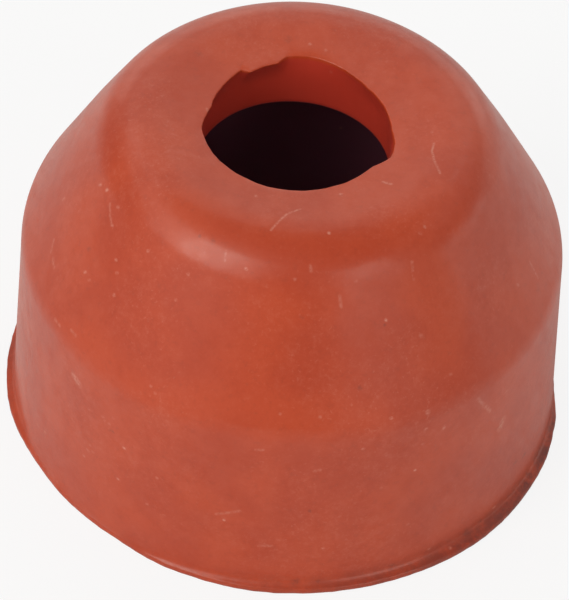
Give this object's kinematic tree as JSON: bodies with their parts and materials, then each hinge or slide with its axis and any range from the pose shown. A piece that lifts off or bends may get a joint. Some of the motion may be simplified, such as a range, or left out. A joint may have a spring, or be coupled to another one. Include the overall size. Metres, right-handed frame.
{
  "type": "valve stem seal",
  "caption": "Umbrella valve stem seal: a moulded rubber cup with a straight skirt, a conical shoulder and a rounded crown whose central bore grips the valve stem.",
  "frame": {"origin": "on the seal's axis, in the plane of the open end that it rests on", "axes": "+Z along the axis, from the open end to the crown; the web of flash in the bore's upper edge lies towards +Y and a little to -X"},
  "size_m": [0.0239, 0.0241, 0.0155],
  "materials": {
    "red_rubber": "matt moulded rubber with a faint sheen, a little dust, lint and scuffing"
  },
  "bodies": {
    "root": {"valve_stem_seal": "red_rubber"}
  },
  "joints": []
}
